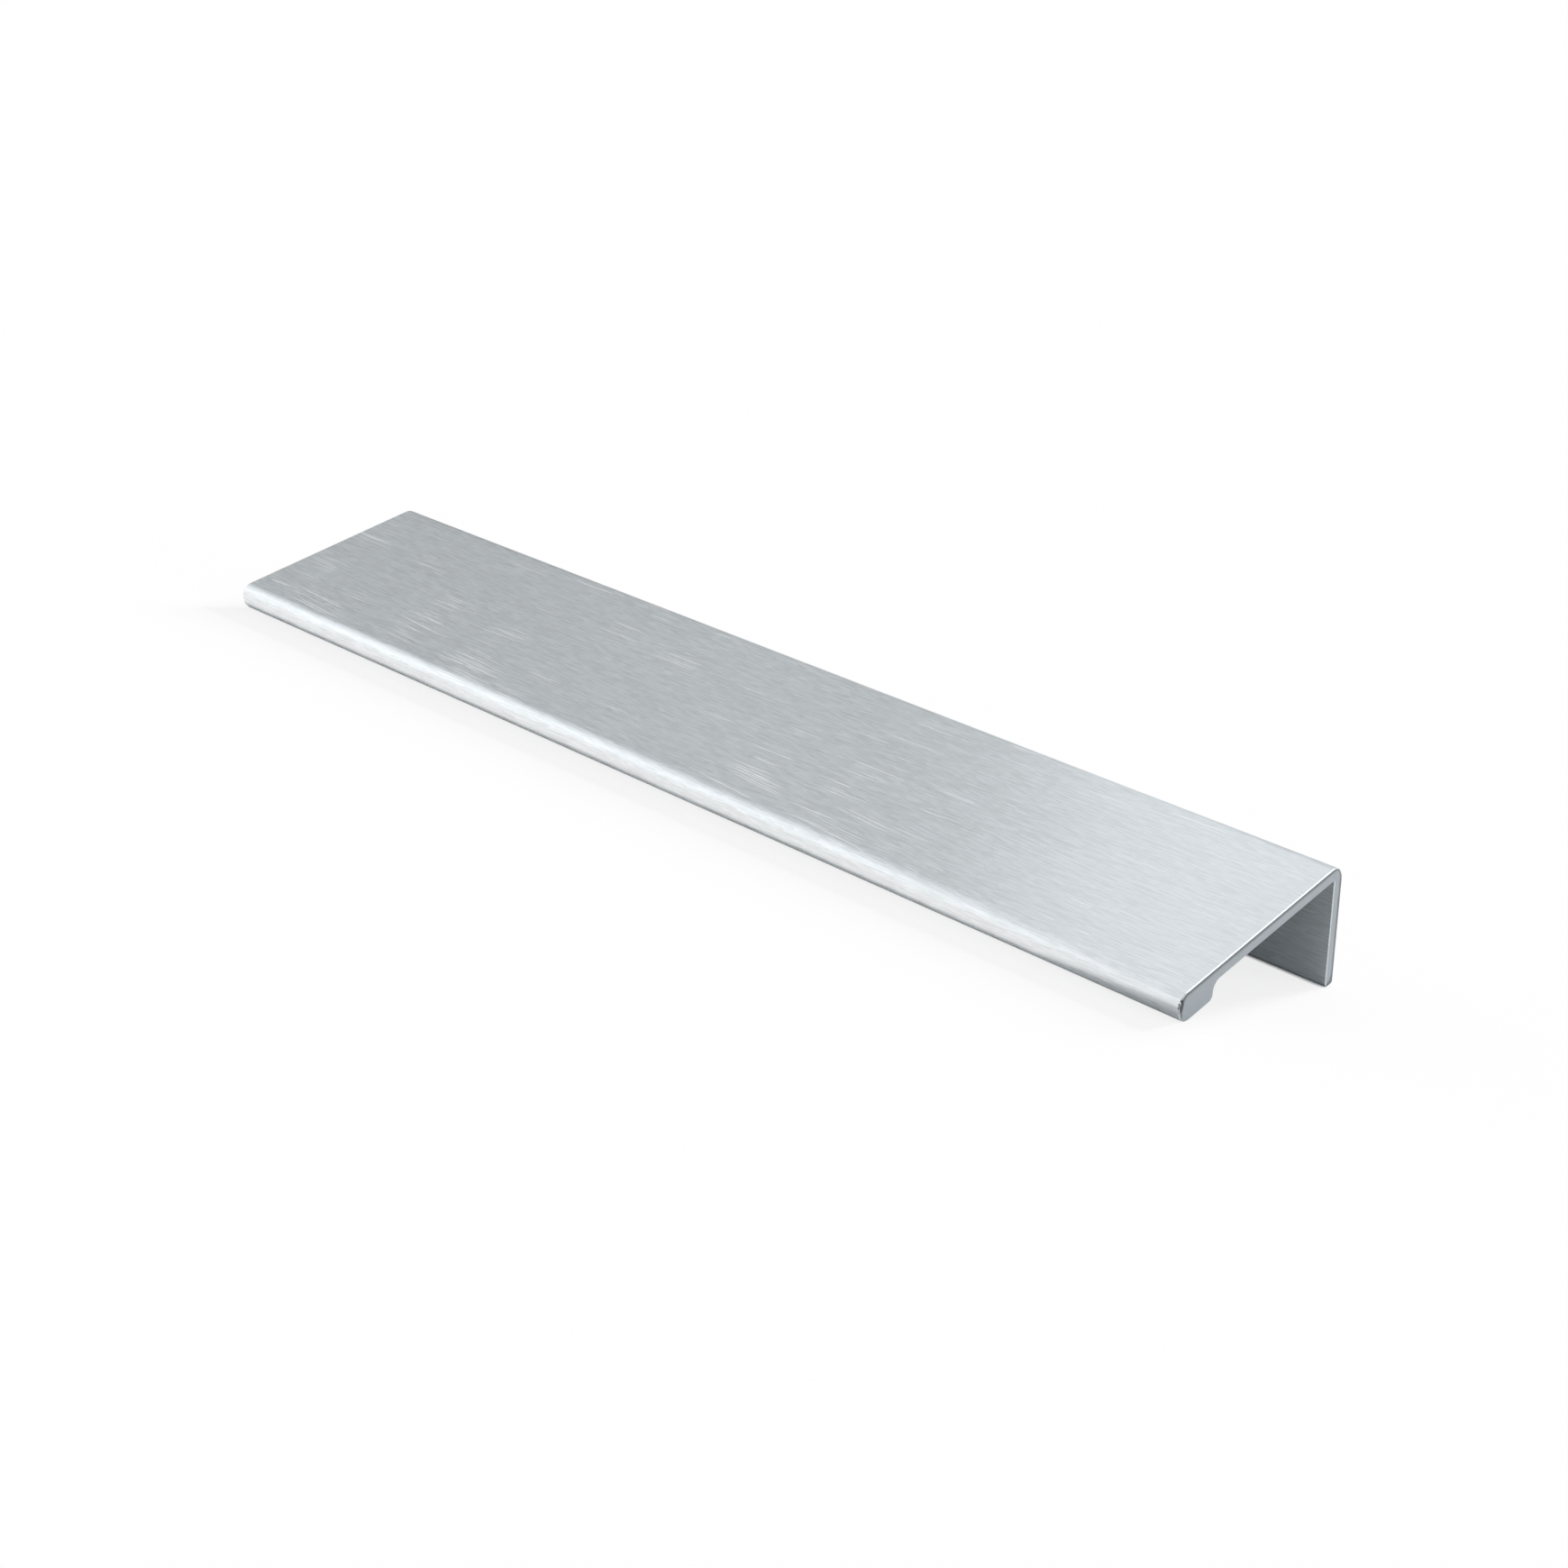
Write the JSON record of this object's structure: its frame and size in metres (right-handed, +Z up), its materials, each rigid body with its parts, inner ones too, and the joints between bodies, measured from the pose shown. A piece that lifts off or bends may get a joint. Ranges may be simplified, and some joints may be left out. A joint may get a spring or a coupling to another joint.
{
  "type": "finger pull profile",
  "caption": "Handleless finger pull profile for a cabinet door edge: flat plate with a rounded front lip and a screw leg behind, one piece of brushed aluminium.",
  "frame": {"origin": "centre of the footprint, on the ground the profile rests on", "axes": "+X along the extruded length, -Y towards the lip (the side that is pulled), +Z up as the profile lies unheld on its lip and foot"},
  "size_m": [0.2, 0.0462, 0.0193],
  "materials": {
    "brushed_aluminium": "brushed lengthwise, clear satin"
  },
  "bodies": {
    "root": {"finger_pull_profile": "brushed_aluminium"}
  },
  "joints": []
}
